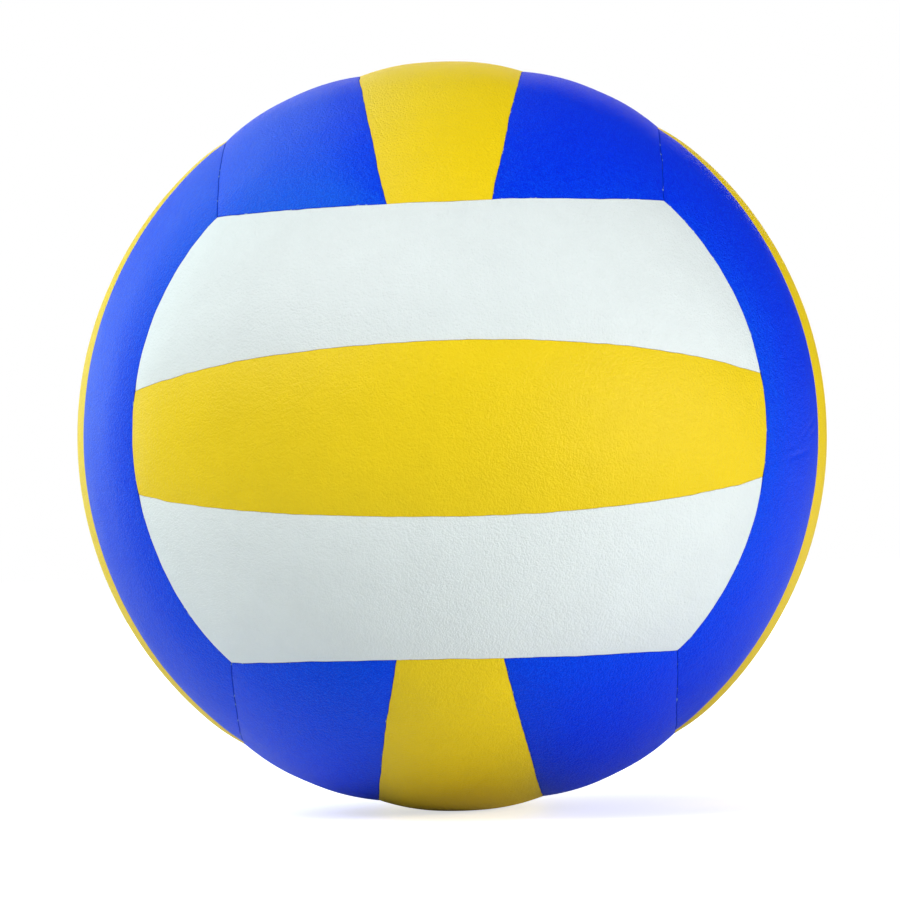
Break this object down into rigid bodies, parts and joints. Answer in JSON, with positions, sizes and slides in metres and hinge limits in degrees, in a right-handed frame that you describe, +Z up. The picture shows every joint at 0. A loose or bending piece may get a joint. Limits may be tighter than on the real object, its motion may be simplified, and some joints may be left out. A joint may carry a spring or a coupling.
{
  "type": "volleyball",
  "caption": "Round indoor volleyball with strip panels in three colours, soft padded covers and a needle valve; it is inflated, hit and passed by hand.",
  "frame": {"origin": "centre of the ball", "axes": "+Z up, -Y towards the front face with the white and yellow strips, +Y through the valve"},
  "size_m": [0.21, 0.2099, 0.2099],
  "materials": {
    "cover_white": "satin",
    "cover_yellow": "satin",
    "cover_blue": "satin",
    "foam": "matte",
    "carcass_rubber": "matte",
    "nylon": "matte",
    "butyl": "satin",
    "patch_rubber": "matte",
    "stem_rubber": "matte",
    "plug_rubber": "satin"
  },
  "bodies": {
    "root": {"cover_front_upper": "cover_white", "cover_front_middle": "cover_yellow", "cover_front_lower": "cover_white", "cover_back_upper": "cover_white", "cover_back_middle": "cover_yellow", "cover_back_lower": "cover_white", "cover_left_rear": "cover_blue", "cover_left_middle": "cover_yellow", "cover_left_fore": "cover_blue", "cover_right_fore": "cover_blue", "cover_right_middle": "cover_yellow", "cover_right_rear": "cover_blue", "cover_top_left": "cover_blue", "cover_top_middle": "cover_yellow", "cover_top_right": "cover_blue", "cover_bottom_right": "cover_blue", "cover_bottom_middle": "cover_yellow", "cover_bottom_left": "cover_blue", "pad_front_upper": "foam", "pad_front_middle": "foam", "pad_front_lower": "foam", "pad_back_upper": "foam", "pad_back_middle": "foam", "pad_back_lower": "foam", "pad_left_rear": "foam", "pad_left_middle": "foam", "pad_left_fore": "foam", "pad_right_fore": "foam", "pad_right_middle": "foam", "pad_right_rear": "foam", "pad_top_left": "foam", "pad_top_middle": "foam", "pad_top_right": "foam", "pad_bottom_right": "foam", "pad_bottom_middle": "foam", "pad_bottom_left": "foam", "carcass": "carcass_rubber", "winding": "nylon", "bladder": "butyl", "balance_patch": "patch_rubber", "valve_stem": "stem_rubber", "valve_plug": "plug_rubber"}
  },
  "joints": []
}
